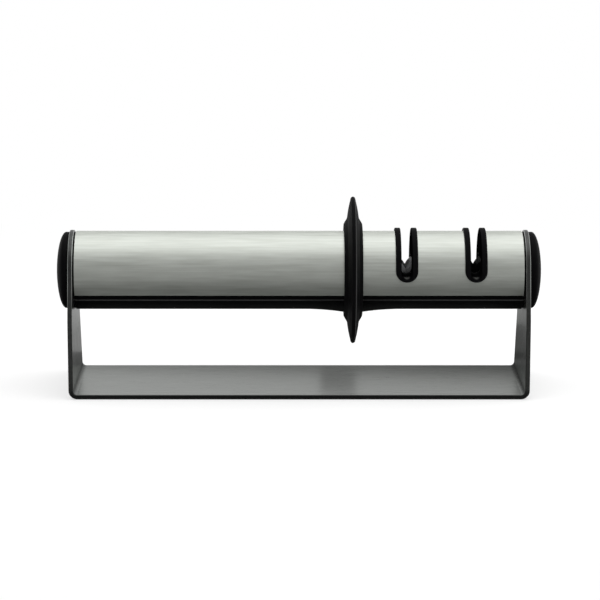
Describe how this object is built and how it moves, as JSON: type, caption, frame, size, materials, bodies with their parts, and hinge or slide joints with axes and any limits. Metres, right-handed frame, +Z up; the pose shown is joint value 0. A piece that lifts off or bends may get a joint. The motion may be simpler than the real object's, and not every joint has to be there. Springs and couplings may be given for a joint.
{
  "type": "pull through knife sharpener",
  "caption": "Round steel handle with a finger guard and knife slots over crossed discs, held between the legs of a bent strap stand.",
  "frame": {"origin": "on the worktop under the middle of the handle, at the bottom centre of the whole part", "axes": "+X along the handle towards the slotted head, +Y to the back, +Z up"},
  "size_m": [0.2472, 0.075, 0.0979],
  "materials": {
    "strap_steel": "satin stainless steel, fine grain along the strap",
    "sleeve_steel": "stainless steel, finely brushed along the handle",
    "core_plastic": "black moulded ABS, satin",
    "guard_plastic": "black moulded ABS, soft satin",
    "trim_plastic": "black moulded ABS, smooth satin",
    "cap_plastic": "black moulded ABS, smooth satin",
    "cradle_plastic": "black glass-filled nylon, dull",
    "disc_steel": "ground hardened steel",
    "disc_ceramic": "fine black ceramic",
    "axle_steel": "bright drawn steel pin",
    "screw_steel": "zinc-plated steel",
    "washer_nylon": "natural nylon",
    "pad_rubber": "thin black non-slip rubber"
  },
  "bodies": {
    "frame": {"stand_bracket": "strap_steel", "base_pad": "pad_rubber", "grip_core": "core_plastic", "grip_end_plug": "core_plastic", "grip_sleeve": "sleeve_steel", "finger_guard": "guard_plastic", "head_chassis": "core_plastic", "head_sleeve": "sleeve_steel", "joining_screws": "screw_steel", "stand_screws": "screw_steel", "end_spacer_left": "core_plastic", "end_spacer_right": "core_plastic", "end_cap_left": "cap_plastic", "end_cap_right": "cap_plastic", "coarse_slot_trim": "trim_plastic", "fine_slot_trim": "trim_plastic", "coarse_cradle": "cradle_plastic", "fine_cradle": "cradle_plastic", "coarse_axle_left": "axle_steel", "coarse_axle_right": "axle_steel", "fine_axle_left": "axle_steel", "fine_axle_right": "axle_steel", "roller_washers": "washer_nylon"},
    "coarse_roller_left": {"coarse_roller_left": "disc_steel"},
    "coarse_roller_right": {"coarse_roller_right": "disc_steel"},
    "fine_roller_left": {"fine_roller_left": "disc_ceramic"},
    "fine_roller_right": {"fine_roller_right": "disc_ceramic"}
  },
  "joints": [
    {"name": "coarse_left_spin", "type": "hinge", "parent": "frame", "child": "coarse_roller_left", "pos_m": [0.04695, 0, 0.0595], "axis": [0, 1, 0], "continuous": true},
    {"name": "coarse_right_spin", "type": "hinge", "parent": "frame", "child": "coarse_roller_right", "pos_m": [0.06195, 0, 0.0595], "axis": [0, 1, 0], "continuous": true},
    {"name": "fine_left_spin", "type": "hinge", "parent": "frame", "child": "fine_roller_left", "pos_m": [0.08195, 0, 0.0595], "axis": [0, 1, 0], "continuous": true},
    {"name": "fine_right_spin", "type": "hinge", "parent": "frame", "child": "fine_roller_right", "pos_m": [0.09695, 0, 0.0595], "axis": [0, 1, 0], "continuous": true}
  ]
}
